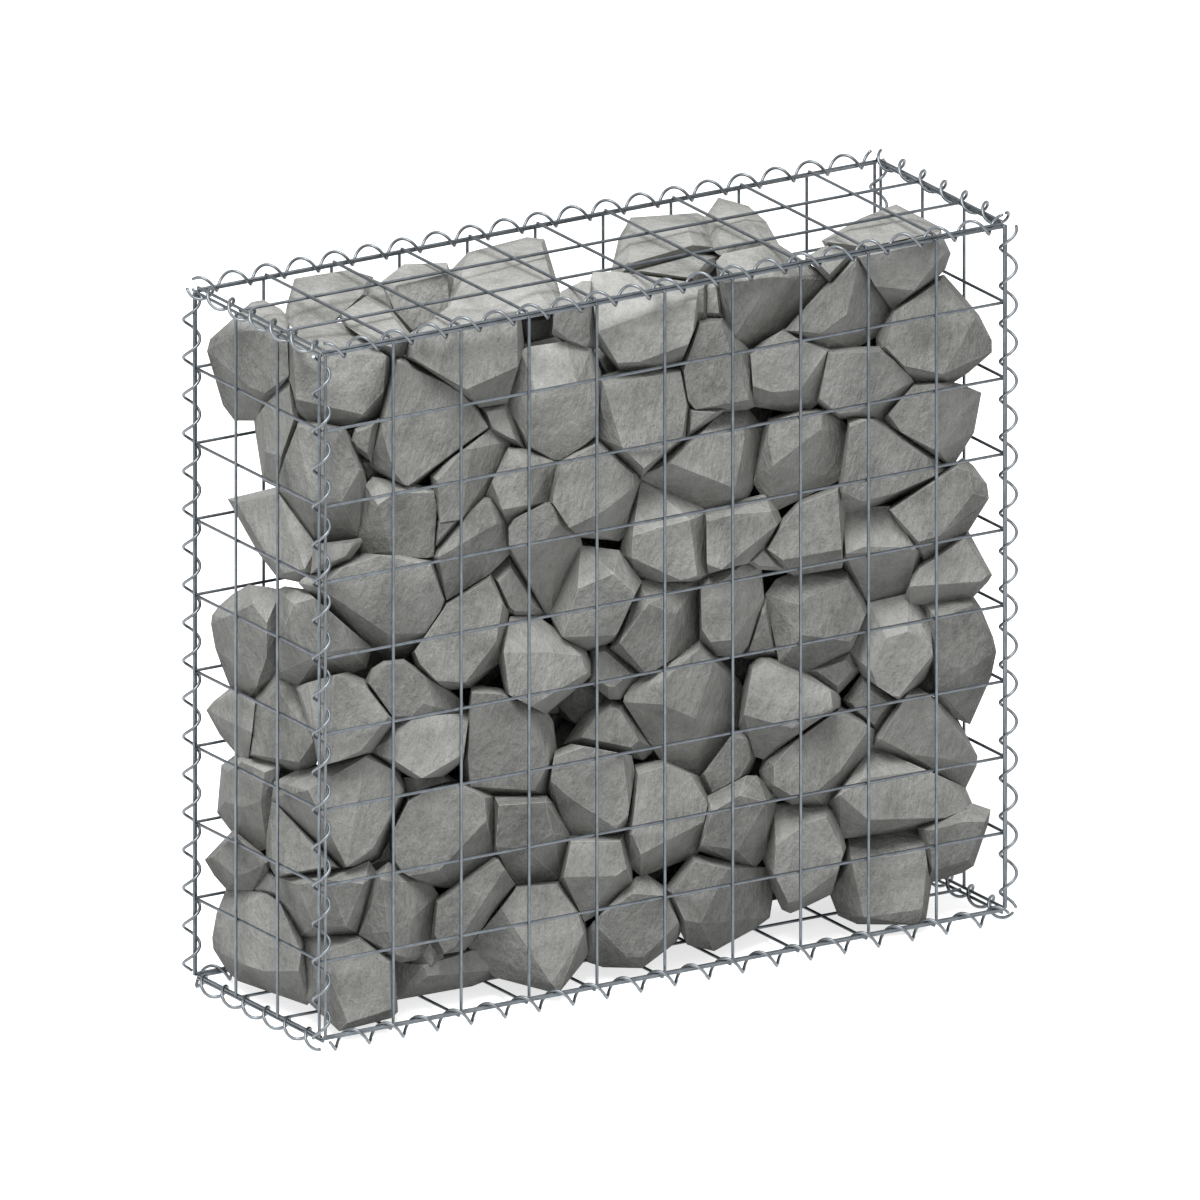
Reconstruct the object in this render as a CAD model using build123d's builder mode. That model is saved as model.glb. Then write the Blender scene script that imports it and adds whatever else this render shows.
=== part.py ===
"""A free-standing gabion: a welded wire basket, laced with spirals and filled with crushed stone."""

import os
from math import cos, radians, sin

from build123d import *

# Driving dimensions, in millimetres
BASKET_LENGTH = 1000.0
BASKET_DEPTH = 300.0
BASKET_HEIGHT = 900.0
MESH_PITCH = 100.0
MESH_WIRE = 4.0
WIRE_OVERHANG = 0.6
SPIRAL_WIRE = 3.5
SPIRAL_RADIUS = 10.5
SPIRAL_PITCH = 50.0
STONE_CLEARANCE = 0.4
TOP_ROOM = 105.0

# How far one layer of wires stands out from the layer it is welded to
WELD_STEP_SHARE = 0.7
LAYER_STEP = WELD_STEP_SHARE * MESH_WIRE

# The level wires stand one step outside the nominal box, and the uprights one step more
LEVEL_OFFSET = LAYER_STEP
UPRIGHT_OFFSET = LEVEL_OFFSET + LAYER_STEP

# The lid and the base lie just clear of the walls' edge wires
LID_STEP_SHARE = 0.8
LENGTHWISE_OFFSET = LID_STEP_SHARE * MESH_WIRE
CROSSWISE_OFFSET = LENGTHWISE_OFFSET + LAYER_STEP

# The spirals hang on the wires that they lace together, so that their axes lie a little outside
SPIRAL_OFFSET_SHARE = 0.557
SPIRAL_OFFSET = SPIRAL_OFFSET_SHARE * SPIRAL_RADIUS
SPIRAL_REACH = SPIRAL_RADIUS + SPIRAL_WIRE / 2

# The basket stands on its lowest turns of spiral
BASE_LEVEL = SPIRAL_OFFSET + SPIRAL_REACH
TOP_LEVEL = BASE_LEVEL + BASKET_HEIGHT
MID_LEVEL = (BASE_LEVEL + TOP_LEVEL) / 2
HALF_LENGTH = BASKET_LENGTH / 2
HALF_DEPTH = BASKET_DEPTH / 2

LENGTH_WIRES = round(BASKET_LENGTH / MESH_PITCH) + 1
DEPTH_WIRES = round(BASKET_DEPTH / MESH_PITCH) + 1
HEIGHT_WIRES = round(BASKET_HEIGHT / MESH_PITCH) + 1
LENGTH_STEP = BASKET_LENGTH / (LENGTH_WIRES - 1)
DEPTH_STEP = BASKET_DEPTH / (DEPTH_WIRES - 1)
HEIGHT_STEP = BASKET_HEIGHT / (HEIGHT_WIRES - 1)
WIRE_SIDES = 8

os.makedirs("parts", exist_ok=True)


def save(part, name):
    """Label one finished piece and write it to its own file."""
    part.label = name
    export_step(part, f"parts/{name}.step")


# Front and back panels: uprights on the outside, level wires welded behind them
for name, side in (("front_panel", -1), ("back_panel", 1)):
    with BuildPart() as panel:
        foot = BASE_LEVEL - WIRE_OVERHANG
        with BuildSketch(Plane.XY.offset(foot)):
            with Locations((0, side * (HALF_DEPTH + UPRIGHT_OFFSET))):
                with GridLocations(LENGTH_STEP, 0, LENGTH_WIRES, 1):
                    RegularPolygon(MESH_WIRE / 2, WIRE_SIDES)
        extrude(amount=BASKET_HEIGHT + 2 * WIRE_OVERHANG)
        with BuildSketch(Plane.YZ.offset(-HALF_LENGTH - WIRE_OVERHANG)):
            with Locations((side * (HALF_DEPTH + LEVEL_OFFSET), MID_LEVEL)):
                with GridLocations(0, HEIGHT_STEP, 1, HEIGHT_WIRES):
                    RegularPolygon(MESH_WIRE / 2, WIRE_SIDES)
        extrude(amount=BASKET_LENGTH + 2 * WIRE_OVERHANG)
    save(panel.part, name)

# End panels: the same layers, turned to face along the length
for name, side in (("left_end_panel", -1), ("right_end_panel", 1)):
    with BuildPart() as panel:
        foot = BASE_LEVEL - WIRE_OVERHANG
        with BuildSketch(Plane.XY.offset(foot)):
            with Locations((side * (HALF_LENGTH + UPRIGHT_OFFSET), 0)):
                with GridLocations(0, DEPTH_STEP, 1, DEPTH_WIRES):
                    RegularPolygon(MESH_WIRE / 2, WIRE_SIDES)
        extrude(amount=BASKET_HEIGHT + 2 * WIRE_OVERHANG)
        with BuildSketch(Plane.XZ.offset(-HALF_DEPTH - WIRE_OVERHANG)):
            with Locations((side * (HALF_LENGTH + LEVEL_OFFSET), MID_LEVEL)):
                with GridLocations(0, HEIGHT_STEP, 1, HEIGHT_WIRES):
                    RegularPolygon(MESH_WIRE / 2, WIRE_SIDES)
        extrude(amount=BASKET_DEPTH + 2 * WIRE_OVERHANG)
    save(panel.part, name)

# Lid and base: lengthwise wires next to the stones, crosswise wires on the outside
for name, level, side in (("base_panel", BASE_LEVEL, -1), ("lid_panel", TOP_LEVEL, 1)):
    with BuildPart() as panel:
        with BuildSketch(Plane.YZ.offset(-HALF_LENGTH - WIRE_OVERHANG)):
            with Locations((0, level + side * LENGTHWISE_OFFSET)):
                with GridLocations(DEPTH_STEP, 0, DEPTH_WIRES, 1):
                    RegularPolygon(MESH_WIRE / 2, WIRE_SIDES)
        extrude(amount=BASKET_LENGTH + 2 * WIRE_OVERHANG)
        with BuildSketch(Plane.XZ.offset(-HALF_DEPTH - WIRE_OVERHANG)):
            with Locations((0, level + side * CROSSWISE_OFFSET)):
                with GridLocations(LENGTH_STEP, 0, LENGTH_WIRES, 1):
                    RegularPolygon(MESH_WIRE / 2, WIRE_SIDES)
        extrude(amount=BASKET_DEPTH + 2 * WIRE_OVERHANG)
    save(panel.part, name)


def save_spiral(name, start, along, first_turn, length):
    """Wind one lacing spiral from a corner and write it.

    start is where its axis begins, along is the way it runs, and first_turn
    is the way from the axis to the cut end.
    """
    with BuildPart() as spiral:
        place = Plane(origin=start, x_dir=first_turn, z_dir=along)
        with BuildLine() as turns:
            coil = Helix(SPIRAL_PITCH, length, SPIRAL_RADIUS, mode=Mode.PRIVATE)
            add(place.location * coil)
        with BuildSketch(Plane(origin=turns.line @ 0, z_dir=turns.line % 0)):
            Circle(SPIRAL_WIRE / 2)
        sweep(path=turns.line, is_frenet=True)
    save(spiral.part, name)


# Spirals along the length, each with the angle of its first turn from the way to the back
LENGTH_SPIRALS = (
    ("front_top_spiral", -1, 1, 70),
    ("back_top_spiral", 1, 1, 41),
    ("front_base_spiral", -1, -1, 160),
    ("back_base_spiral", 1, -1, 262),
)
for name, side, rise, angle in LENGTH_SPIRALS:
    level = TOP_LEVEL if rise > 0 else BASE_LEVEL
    start = (-HALF_LENGTH, side * (HALF_DEPTH + SPIRAL_OFFSET), level + rise * SPIRAL_OFFSET)
    first_turn = (0, cos(radians(angle)), sin(radians(angle)))
    save_spiral(name, start, (1, 0, 0), first_turn, BASKET_LENGTH)

# Spirals along the depth, with the angle of the first turn from straight up
DEPTH_SPIRALS = (
    ("left_top_spiral", -1, 1, 281),
    ("right_top_spiral", 1, 1, 0),
    ("left_base_spiral", -1, -1, 167),
    ("right_base_spiral", 1, -1, 106),
)
for name, side, rise, angle in DEPTH_SPIRALS:
    level = TOP_LEVEL if rise > 0 else BASE_LEVEL
    start = (side * (HALF_LENGTH + SPIRAL_OFFSET), -HALF_DEPTH, level + rise * SPIRAL_OFFSET)
    first_turn = (sin(radians(angle)), 0, cos(radians(angle)))
    save_spiral(name, start, (0, 1, 0), first_turn, BASKET_DEPTH)

# Spirals up the corners, with the angle of the first turn from the way to the right
CORNER_SPIRALS = (
    ("front_left_corner_spiral", -1, -1, 138),
    ("front_right_corner_spiral", 1, -1, 351),
    ("back_left_corner_spiral", -1, 1, 55),
    ("back_right_corner_spiral", 1, 1, 31),
)
for name, across, side, angle in CORNER_SPIRALS:
    corner_x = across * (HALF_LENGTH + SPIRAL_OFFSET)
    corner_y = side * (HALF_DEPTH + SPIRAL_OFFSET)
    first_turn = (cos(radians(angle)), sin(radians(angle)), 0)
    save_spiral(name, (corner_x, corner_y, BASE_LEVEL), (0, 0, 1), first_turn, BASKET_HEIGHT)

# Stones, traced from the photo: how far back each one stands, then its outline and its foremost facet.
# Pixels count from the top left of the photo.
# The meshes' corners in the photo, at the outer uprights
FRONT_LEFT_FOOT_PX = Vector(325.4, 1036.3)
FRONT_RIGHT_FOOT_PX = Vector(1004.3, 907.9)
FRONT_LEFT_TOP_PX = Vector(325.4, 355.0)
BACK_LEFT_FOOT_PX = Vector(195.2, 971.5)

# Stones behind the front mesh, from the top down
FRONT_STONES = (
    (5, ((398, 358), (431, 371), (462, 388), (479, 405), (490, 427), (463, 447), (407, 487),
        (373, 461), (381, 421)),
     ((400, 363), (459, 390), (487, 426), (462, 445), (408, 484), (396, 470), (384, 430))),
    (22, ((352, 444), (357, 429), (379, 420), (372, 459)),
     ()),
    (0, ((411, 357), (412, 335), (422, 319), (445, 310), (489, 297), (515, 300), (520, 306),
        (519, 368), (512, 401), (479, 405), (462, 388), (431, 371)),
     ((414, 340), (516, 312), (517, 366), (494, 365), (467, 388), (432, 368), (414, 357))),
    (27, ((552, 330), (555, 311), (563, 294), (582, 284), (593, 285), (592, 312), (596, 340),
        (588, 349), (568, 342)),
     ((556, 328), (559, 308), (588, 305), (590, 338), (586, 345), (570, 338))),
    (0, ((593, 287), (597, 276), (652, 275), (693, 284), (699, 296), (693, 344), (681, 360),
        (656, 367), (626, 371), (600, 342), (595, 335)),
     ((600, 331), (630, 325), (650, 313), (696, 302), (691, 342), (672, 343), (641, 360), (619, 361))),
    (27, ((699, 287), (706, 284), (706, 319), (698, 322), (695, 330)),
     ()),
    (0, ((520, 357), (531, 351), (573, 345), (588, 351), (597, 373), (604, 416), (599, 433),
        (567, 460), (553, 459), (528, 447), (509, 425), (508, 405)),
     ((538, 391), (577, 384), (598, 410), (597, 432), (567, 458), (554, 457), (532, 444), (535, 405))),
    (37, ((481, 406), (512, 402), (512, 415), (528, 436), (524, 446), (509, 440), (491, 430)),
     ()),
    (9, ((434, 475), (463, 449), (489, 432), (509, 438), (506, 452), (488, 490), (464, 520),
        (440, 523), (438, 490)),
     ((440, 480), (466, 450), (472, 450), (464, 484), (462, 517), (442, 520))),
    (2, ((680, 369), (692, 345), (699, 322), (722, 320), (736, 338), (748, 353), (755, 401),
        (740, 407), (697, 410), (689, 405)),
     ((686, 370), (702, 325), (721, 323), (748, 398), (697, 407), (690, 398))),
    (0, ((600, 380), (626, 372), (655, 370), (677, 369), (683, 382), (689, 407), (686, 438),
        (642, 474), (621, 459), (600, 441), (603, 418)),
     ((606, 386), (617, 418), (664, 377), (680, 373), (686, 406), (682, 436), (645, 466), (624, 446))),
    (0, ((722, 281), (720, 260), (746, 249), (768, 243), (790, 257), (830, 282), (823, 295),
        (795, 321), (782, 328), (753, 345), (740, 345), (733, 334), (724, 317)),
     ((727, 284), (774, 278), (737, 334))),
    (40, ((707, 284), (721, 281), (723, 318), (707, 320)),
     ()),
    (0, ((789, 328), (830, 283), (855, 256), (872, 277), (893, 309), (893, 322), (845, 350),
        (827, 347), (800, 335)),
     ((800, 330), (830, 290), (856, 262), (857, 275), (847, 314), (822, 332))),
    (0, ((859, 256), (870, 246), (938, 233), (941, 244), (948, 254), (943, 268), (912, 300),
        (894, 308), (884, 296), (867, 270)),
     ((864, 258), (936, 243), (946, 254), (916, 289), (879, 285))),
    (0, ((883, 336), (895, 311), (935, 282), (944, 279), (965, 302), (977, 316), (989, 339),
        (989, 350), (967, 368), (945, 382), (912, 380), (907, 366), (884, 350)),
     ((890, 346), (898, 313), (943, 281), (976, 318), (966, 327), (945, 372), (908, 364))),
    (2, ((828, 352), (848, 350), (880, 349), (908, 366), (914, 382), (904, 398), (889, 416),
        (842, 415), (831, 410), (818, 398), (822, 375)),
     ((830, 355), (880, 353), (905, 367), (912, 381), (871, 400), (858, 410), (840, 412), (822, 398))),
    (0, ((750, 355), (781, 331), (814, 342), (828, 351), (824, 375), (818, 397), (804, 410),
        (756, 402), (752, 386)),
     ((753, 356), (781, 333), (826, 352), (801, 388), (775, 391), (755, 385))),
    (0, ((643, 477), (690, 438), (721, 412), (744, 411), (762, 433), (763, 447), (755, 475),
        (745, 495), (732, 504), (696, 506), (672, 488), (648, 482)),
     ((684, 452), (700, 437), (743, 434), (744, 440), (735, 487), (727, 484), (683, 466), (672, 463))),
    (17, ((687, 410), (724, 409), (688, 443)),
     ()),
    (2, ((764, 436), (771, 421), (801, 411), (831, 411), (842, 426), (849, 450), (843, 474),
        (800, 495), (776, 506), (756, 477)),
     ((770, 440), (772, 424), (802, 413), (822, 413), (821, 430), (790, 438), (775, 465))),
    (1, ((853, 420), (871, 417), (886, 422), (933, 450), (949, 464), (938, 477), (898, 495),
        (857, 511), (845, 507), (843, 490), (851, 440)),
     ((854, 428), (871, 421), (928, 456), (936, 474), (897, 491), (866, 499), (847, 490))),
    (2, ((887, 420), (905, 398), (915, 384), (937, 381), (960, 386), (979, 394), (972, 430),
        (951, 462), (934, 452), (900, 434)),
     ((893, 414), (917, 387), (940, 385), (941, 450), (905, 431))),
    (0, ((889, 511), (925, 487), (962, 462), (972, 469), (985, 486), (987, 499), (963, 535),
        (943, 563), (936, 560), (920, 548)),
     ((895, 510), (958, 468), (970, 472), (974, 493), (942, 534), (922, 540))),
    (9, ((366, 491), (376, 480), (440, 491), (438, 525), (432, 557), (406, 565), (390, 557),
        (364, 551), (362, 536)),
     ((396, 494), (437, 493), (433, 554), (406, 562), (392, 549), (380, 505))),
    (3, ((487, 489), (509, 450), (528, 452), (560, 462), (552, 496), (529, 510), (507, 522), (500, 510)),
     ((494, 481), (510, 455), (529, 467), (529, 503), (504, 508))),
    (1, ((552, 497), (559, 463), (596, 438), (606, 445), (641, 477), (634, 505), (624, 530),
        (617, 536), (576, 532), (569, 526), (551, 504)),
     ((556, 492), (563, 465), (598, 446), (632, 474), (634, 486), (604, 510), (578, 519), (571, 526),
      (555, 502))),
    (0, ((508, 527), (523, 513), (541, 505), (554, 504), (575, 531), (580, 550), (566, 578),
        (550, 611), (532, 598), (512, 560)),
     ((511, 545), (511, 531), (519, 518), (546, 506), (552, 506), (558, 524), (545, 540))),
    (0, ((433, 558), (441, 541), (478, 501), (494, 498), (508, 527), (511, 549), (464, 592), (444, 599)),
     ((441, 556), (465, 525), (480, 504), (491, 503), (496, 524), (470, 540))),
    (17, ((433, 522), (468, 517), (440, 549)),
     ()),
    (0, ((622, 557), (627, 530), (641, 481), (655, 482), (680, 492), (696, 506), (705, 515),
        (707, 572), (680, 580), (654, 580), (627, 566)),
     ((635, 535), (660, 527), (690, 520), (697, 574), (681, 578), (634, 556))),
    (0, ((706, 515), (733, 505), (768, 496), (779, 523), (772, 537), (750, 558), (720, 574), (708, 570)),
     ((709, 522), (735, 515), (770, 512), (776, 525), (733, 557), (723, 567), (709, 562))),
    (0, ((305, 584), (310, 579), (344, 563), (381, 552), (404, 565), (431, 559), (445, 600),
        (443, 610), (435, 634), (400, 655), (390, 654), (366, 640), (330, 612), (318, 598)),
     ((322, 588), (345, 568), (381, 556), (430, 566), (442, 600), (434, 631), (388, 632))),
    (0, ((445, 602), (488, 576), (506, 602), (500, 656), (470, 682), (440, 686), (420, 667),
        (415, 650), (436, 634)),
     ((447, 606), (466, 596), (489, 580), (502, 604), (496, 640), (466, 680), (438, 678), (422, 662),
      (417, 650))),
    (40, ((491, 574), (510, 554), (517, 568), (540, 604), (544, 610), (530, 622), (518, 618), (508, 610)),
     ()),
    (0, ((579, 549), (608, 553), (618, 554), (630, 570), (648, 596), (641, 612), (616, 636),
        (590, 645), (563, 637), (553, 607), (570, 570)),
     ((580, 588), (614, 574), (636, 594), (642, 603), (615, 633), (565, 635), (574, 608))),
    (40, ((592, 650), (602, 642), (644, 673), (620, 695), (610, 695), (592, 680)),
     ()),
    (5, ((614, 646), (642, 614), (645, 600), (642, 584), (700, 582), (703, 604), (700, 638),
        (672, 668), (660, 674), (645, 673)),
     ((622, 642), (644, 612), (650, 604), (676, 614), (669, 645), (666, 668), (647, 671))),
    (5, ((707, 574), (722, 574), (746, 562), (758, 570), (761, 598), (756, 630), (738, 652),
        (718, 650), (702, 638), (700, 602), (698, 586)),
     ((703, 590), (726, 580), (732, 585), (734, 638), (712, 640), (704, 628))),
    (0, ((501, 652), (508, 634), (513, 620), (539, 620), (558, 636), (582, 650), (588, 662),
        (589, 672), (564, 690), (542, 711), (526, 711), (510, 698), (504, 670)),
     ((506, 652), (528, 667), (552, 652), (580, 655), (586, 672), (532, 704), (512, 696))),
    (0, ((474, 690), (484, 689), (503, 692), (527, 713), (543, 712), (549, 722), (554, 758),
        (543, 795), (495, 795), (468, 784), (464, 764), (475, 728)),
     ((474, 694), (502, 695), (527, 722), (548, 762), (534, 788), (472, 784), (470, 756), (477, 728))),
    (40, ((568, 742), (586, 716), (610, 699), (628, 704), (645, 730), (652, 746), (640, 756), (626, 750)),
     ()),
    (0, ((628, 706), (630, 696), (640, 682), (676, 666), (700, 644), (710, 656), (732, 678),
        (743, 694), (738, 722), (728, 738), (702, 773), (688, 770), (668, 762), (642, 726)),
     ((664, 704), (666, 680), (699, 650), (713, 664), (696, 718))),
    (0, ((553, 755), (589, 744), (598, 737), (614, 738), (624, 746), (628, 756), (635, 790),
        (632, 812), (621, 828), (600, 836), (582, 837), (563, 826), (549, 784)),
     ((556, 758), (590, 746), (622, 752), (626, 790), (629, 812), (616, 826), (568, 794), (553, 780))),
    (0, ((637, 768), (670, 762), (688, 770), (700, 782), (708, 800), (713, 818), (696, 848),
        (688, 853), (644, 870), (630, 858), (626, 842), (631, 830)),
     ((640, 775), (668, 766), (690, 775), (706, 802), (710, 817), (643, 852), (634, 832))),
    (32, ((702, 773), (730, 734), (748, 732), (754, 746), (754, 756), (744, 778), (710, 797)),
     ((706, 772), (731, 738), (747, 740), (750, 758), (740, 776), (714, 790))),
    (0, ((766, 544), (780, 524), (800, 502), (838, 488), (843, 520), (844, 550), (838, 566),
        (828, 577), (800, 573), (788, 568)),
     ((770, 548), (782, 527), (801, 505), (837, 491), (841, 548), (784, 558))),
    (27, ((750, 562), (764, 548), (792, 568), (760, 567)),
     ()),
    (3, ((843, 520), (858, 512), (889, 510), (920, 547), (918, 556), (906, 594), (880, 603),
        (870, 600), (852, 578), (844, 558)),
     ((848, 553), (867, 546), (900, 547), (915, 549))),
    (0, ((909, 592), (918, 566), (944, 563), (967, 534), (990, 574), (986, 580), (968, 597), (914, 601)),
     ((914, 585), (924, 568), (944, 566), (966, 540), (988, 574), (982, 580))),
    (1, ((930, 606), (970, 596), (980, 610), (992, 638), (995, 651), (990, 674), (970, 717),
        (940, 704), (937, 660)),
     ((942, 620), (974, 606), (989, 645), (985, 677), (942, 687))),
    (0, ((853, 650), (870, 628), (871, 606), (904, 594), (917, 608), (938, 632), (939, 645),
        (922, 676), (900, 697), (880, 696), (860, 664)),
     ((888, 638), (908, 632), (936, 650), (900, 694), (882, 693), (874, 670))),
    (0, ((770, 596), (780, 582), (800, 574), (832, 576), (844, 568), (850, 574), (858, 594),
        (868, 616), (868, 630), (854, 644), (810, 668), (796, 667), (784, 660), (776, 640)),
     ((801, 605), (810, 597), (848, 582), (866, 618), (850, 640), (804, 634))),
    (40, ((757, 636), (762, 602), (770, 598), (777, 642), (781, 656), (764, 656), (745, 654)),
     ()),
    (0, ((740, 718), (745, 694), (752, 668), (760, 660), (768, 658), (798, 674), (818, 679),
        (830, 686), (836, 698), (835, 710), (822, 722), (800, 738), (768, 754), (756, 750)),
     ((746, 714), (754, 670), (768, 662), (796, 676), (830, 690), (832, 708), (794, 727), (760, 714))),
    (37, ((806, 672), (848, 655), (858, 668), (852, 676), (836, 692), (826, 680)),
     ()),
    (40, ((846, 700), (864, 676), (890, 700), (904, 702), (890, 724), (876, 730), (860, 718)),
     ()),
    (0, ((768, 756), (794, 738), (838, 709), (874, 727), (870, 744), (868, 762), (850, 782),
        (822, 805), (800, 803), (768, 787), (764, 770)),
     ((776, 764), (797, 741), (838, 712), (869, 728), (840, 770), (814, 793), (792, 793), (777, 784))),
    (22, ((874, 744), (882, 730), (910, 692), (916, 688), (950, 708), (962, 730), (975, 753),
        (974, 762), (962, 785), (942, 764), (910, 758)),
     ((885, 738), (910, 696), (930, 694), (944, 756), (912, 752))),
    (0, ((406, 800), (430, 788), (466, 785), (496, 796), (499, 808), (496, 840), (484, 873),
        (470, 883), (430, 881), (410, 877), (396, 864), (393, 825)),
     ((410, 802), (430, 790), (464, 787), (484, 798), (486, 820), (440, 868), (408, 874), (398, 860),
      (396, 830))),
    (40, ((402, 778), (424, 780), (444, 774), (456, 780), (430, 787), (408, 796)),
     ()),
    (0, ((369, 682), (375, 670), (386, 663), (405, 661), (412, 668), (438, 682), (458, 698),
        (466, 712), (448, 714), (392, 718)),
     ((372, 684), (388, 665), (405, 664), (424, 702), (412, 714), (394, 714))),
    (0, ((371, 750), (390, 730), (391, 722), (416, 718), (464, 712), (475, 728), (468, 752),
        (442, 772), (423, 778), (396, 762)),
     ((404, 732), (414, 721), (448, 715), (472, 729), (466, 751), (423, 776), (398, 760))),
    (0, ((363, 932), (373, 917), (378, 900), (376, 877), (390, 866), (426, 882), (435, 895),
        (430, 936), (427, 946), (412, 957), (399, 957), (388, 952)),
     ((384, 880), (394, 892), (412, 918), (406, 954), (398, 952), (390, 930))),
    (0, ((432, 936), (436, 900), (452, 888), (478, 878), (488, 861), (500, 860), (507, 868),
        (515, 880), (512, 888), (470, 940), (452, 958), (446, 956)),
     ((437, 932), (440, 902), (480, 882), (498, 864), (504, 870), (456, 944), (446, 950))),
    (40, ((396, 962), (414, 959), (450, 958), (478, 946), (500, 970), (470, 982), (398, 995)),
     ((425, 966), (440, 962), (478, 950), (496, 968), (430, 975))),
    (0, ((498, 799), (544, 797), (552, 806), (569, 838), (571, 863), (558, 880), (530, 883),
        (516, 883), (508, 866), (494, 848)),
     ((501, 806), (546, 803), (553, 833), (528, 848), (498, 845))),
    (0, ((570, 838), (622, 836), (628, 858), (630, 885), (610, 902), (586, 916), (578, 904),
        (561, 880), (571, 862)),
     ((573, 842), (620, 842), (626, 868), (616, 875), (584, 875), (566, 876))),
    (0, ((668, 890), (694, 857), (730, 866), (768, 870), (769, 888), (765, 914), (752, 924),
        (715, 945), (690, 939), (680, 920)),
     ((674, 892), (697, 862), (728, 869), (702, 921), (686, 918))),
    (0, ((598, 926), (600, 918), (610, 904), (636, 880), (646, 878), (664, 890), (680, 920),
        (672, 938), (642, 962), (606, 961), (591, 956), (588, 930)),
     ((601, 927), (604, 914), (634, 894), (664, 896), (678, 921), (644, 954), (628, 954))),
    (0, ((500, 906), (516, 886), (558, 881), (577, 902), (585, 932), (586, 948), (558, 986),
        (550, 985), (486, 968), (474, 944)),
     ((503, 908), (518, 888), (556, 885), (578, 915), (583, 932), (552, 980), (514, 924))),
    (0, ((710, 798), (740, 779), (756, 779), (772, 794), (775, 826), (766, 848), (752, 864),
        (700, 846), (713, 818)),
     ((714, 812), (740, 796), (766, 802), (738, 848), (704, 843))),
    (0, ((775, 808), (800, 810), (820, 804), (832, 814), (840, 838), (847, 866), (830, 889),
        (801, 903), (791, 907), (784, 904), (772, 878), (767, 858), (773, 834)),
     ((778, 846), (785, 840), (808, 824), (826, 818), (842, 850), (844, 866), (800, 898), (790, 900),
      (776, 872))),
    (0, ((834, 802), (850, 783), (868, 762), (871, 748), (910, 758), (942, 764), (962, 786),
        (971, 806), (965, 817), (934, 823), (910, 828), (848, 834)),
     ((844, 794), (866, 778), (940, 768), (968, 806), (963, 815), (872, 818))),
    (3, ((922, 828), (936, 823), (966, 818), (972, 806), (989, 812), (987, 824), (973, 862),
        (962, 868), (930, 878), (930, 850)),
     ((934, 830), (966, 822), (986, 822), (970, 858), (936, 868))),
    (0, ((849, 842), (852, 836), (918, 828), (930, 848), (923, 914), (917, 919), (860, 918),
        (842, 910), (834, 890)),
     ((854, 862), (928, 851), (922, 906), (892, 898), (866, 914))),
)

# Stones at the front left corner, seen through both meshes
CORNER_STONES = (
    (0, ((288, 350), (297, 334), (321, 327), (348, 327), (378, 346), (388, 356), (391, 388),
        (378, 418), (345, 425), (322, 425), (300, 408), (293, 394)),
     ((296, 352), (350, 357), (386, 357), (383, 391), (363, 413), (349, 407), (298, 398))),
    (0, ((280, 465), (285, 456), (297, 424), (318, 425), (344, 430), (351, 443), (362, 470),
        (367, 500), (368, 519), (357, 536), (326, 542), (312, 541), (280, 507)),
     ((287, 456), (299, 427), (342, 432), (360, 470), (343, 500), (314, 502), (292, 462))),
    (6, ((315, 544), (357, 539), (360, 542), (345, 563), (312, 570)),
     ()),
    (0, ((266, 656), (266, 622), (280, 592), (287, 589), (312, 593), (344, 623), (367, 643),
        (362, 664), (320, 668), (299, 686), (277, 666)),
     ((283, 634), (296, 604), (318, 598), (344, 624), (350, 647), (322, 652))),
    (0, ((295, 692), (302, 683), (319, 668), (332, 668), (362, 681), (368, 686), (390, 714),
        (392, 722), (380, 738), (366, 752), (339, 767), (330, 767), (318, 752), (306, 722)),
     ((302, 692), (318, 674), (340, 676), (366, 687), (388, 716), (362, 748), (332, 762), (322, 748))),
    (0, ((276, 784), (300, 772), (330, 770), (345, 768), (368, 753), (380, 754), (396, 766),
        (406, 786), (405, 798), (394, 818), (377, 852), (346, 870), (340, 868), (276, 802)),
     ((310, 790), (352, 776), (366, 758), (392, 770), (402, 790), (374, 846), (348, 864), (336, 840))),
    (0, ((279, 877), (332, 870), (366, 864), (376, 878), (380, 898), (375, 918), (354, 935),
        (300, 931), (292, 926), (281, 896)),
     ((300, 884), (330, 880), (364, 884), (347, 924), (316, 924))),
    (0, ((299, 952), (302, 940), (336, 933), (358, 934), (390, 958), (394, 1006), (388, 1012),
        (341, 1024), (328, 1012), (308, 994), (300, 972)),
     ((331, 974), (332, 950), (360, 940), (389, 962), (391, 1006), (350, 1019))),
)

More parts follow.
